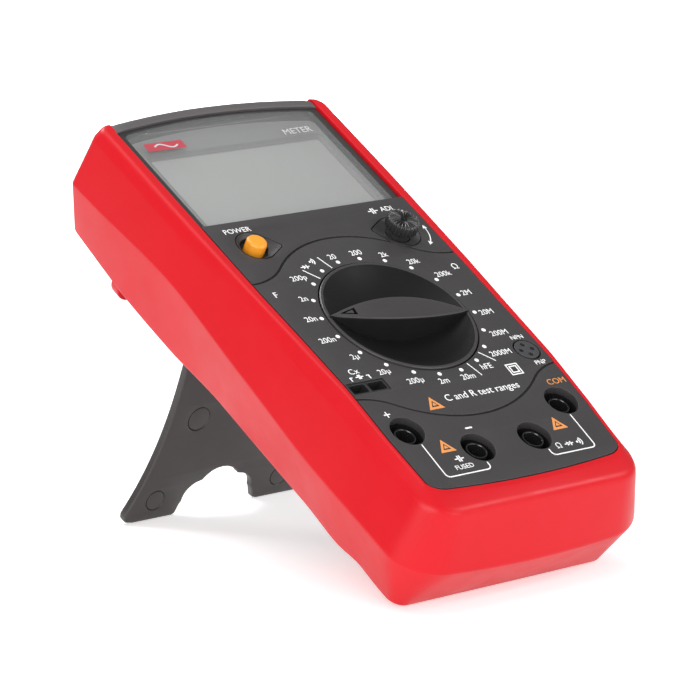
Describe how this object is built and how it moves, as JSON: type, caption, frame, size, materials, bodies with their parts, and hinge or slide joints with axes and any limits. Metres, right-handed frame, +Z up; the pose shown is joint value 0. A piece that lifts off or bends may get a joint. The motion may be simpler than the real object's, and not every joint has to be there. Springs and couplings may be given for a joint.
{
  "type": "handheld component tester",
  "caption": "Handheld capacitance and resistance tester with a range dial, display, plug sockets and a soft holster, leaning back on its fold-out stand.",
  "frame": {"origin": "on the bench plane, under the centre of the bounding box as the tester stands on its heel and its open stand", "axes": "+Z up, +X to the right across the face, +Y away from the user towards the display end"},
  "size_m": [0.0826, 0.1454, 0.1114],
  "materials": {
    "red_rubber": "soft moulded rubber, satin",
    "face_plastic": "fine-textured moulded plastic",
    "case_plastic": "fine-textured moulded plastic",
    "stand_plastic": "moulded plastic, satin",
    "knob_plastic": "fine-textured moulded plastic",
    "black_plastic": "moulded plastic, satin",
    "orange_plastic": "moulded plastic, semi-gloss",
    "grey_plastic": "moulded plastic, satin",
    "white_nylon": "moulded nylon",
    "blue_plastic": "moulded plastic",
    "lens_plastic": "clear tinted window, polished",
    "display_glass": "liquid crystal cell, grey-green",
    "contact_rubber": "striped conductive rubber",
    "board": "coated fibreglass board",
    "board_part": "lacquered small components",
    "steel": "plated steel",
    "brass": "turned or pressed brass",
    "fuse_glass": "glass tube with metal caps",
    "battery_jacket": "printed metal jacket",
    "wire": "insulated wire"
  },
  "bodies": {
    "tester": {"holster": "red_rubber", "probe_clips": "red_rubber", "front_case": "face_plastic", "rear_case": "case_plastic", "case_screws": "steel", "battery_cover": "case_plastic", "cover_screw": "steel", "display_lens": "lens_plastic", "lcd_glass": "display_glass", "lcd_frame": "black_plastic", "contact_strips": "contact_rubber", "main_board": "board", "board_screws": "steel", "meter_chip": "black_plastic", "board_parts": "board_part", "buzzer": "black_plastic", "power_switch": "black_plastic", "adjuster_pot": "blue_plastic", "plus_shroud": "black_plastic", "minus_shroud": "black_plastic", "ohm_shroud": "black_plastic", "common_shroud": "black_plastic", "plus_sleeve": "brass", "minus_sleeve": "brass", "ohm_sleeve": "brass", "common_sleeve": "brass", "capacitor_socket": "black_plastic", "capacitor_contacts": "brass", "transistor_socket": "grey_plastic", "transistor_contacts": "brass", "fuse": "fuse_glass", "fuse_clips": "brass", "battery": "battery_jacket", "battery_snap": "black_plastic", "battery_leads": "wire", "stand_pins": "steel"},
    "dial": {"range_knob": "knob_plastic", "knob_rotor": "white_nylon", "wiper_contacts": "brass", "detent_balls": "steel", "detent_springs": "steel"},
    "button": {"power_button": "orange_plastic"},
    "adjuster": {"adjuster_knob": "black_plastic", "adjuster_shaft": "white_nylon"},
    "stand": {"tilt_stand": "stand_plastic"}
  },
  "joints": [
    {"name": "dial_turn", "type": "hinge", "parent": "tester", "child": "dial", "pos_m": [0, -0.01751, 0.06429], "axis": [0, -0.5159, 0.8566], "continuous": true},
    {"name": "button_press", "type": "slide", "parent": "tester", "child": "button", "axis": [0, 0.5159, -0.8566], "range_m": [0, 0.0025], "stiffness_N_per_m": 400, "springref_m": -0.0005},
    {"name": "adjuster_turn", "type": "hinge", "parent": "tester", "child": "adjuster", "pos_m": [0.0231, 0.00913, 0.08033], "axis": [0, -0.5159, 0.8566], "range_deg": [-140, 140]},
    {"name": "stand_fold", "type": "hinge", "parent": "tester", "child": "stand", "pos_m": [0, 0.04091, 0.05838], "axis": [1, 0, 0], "range_deg": [-80, 0]}
  ]
}
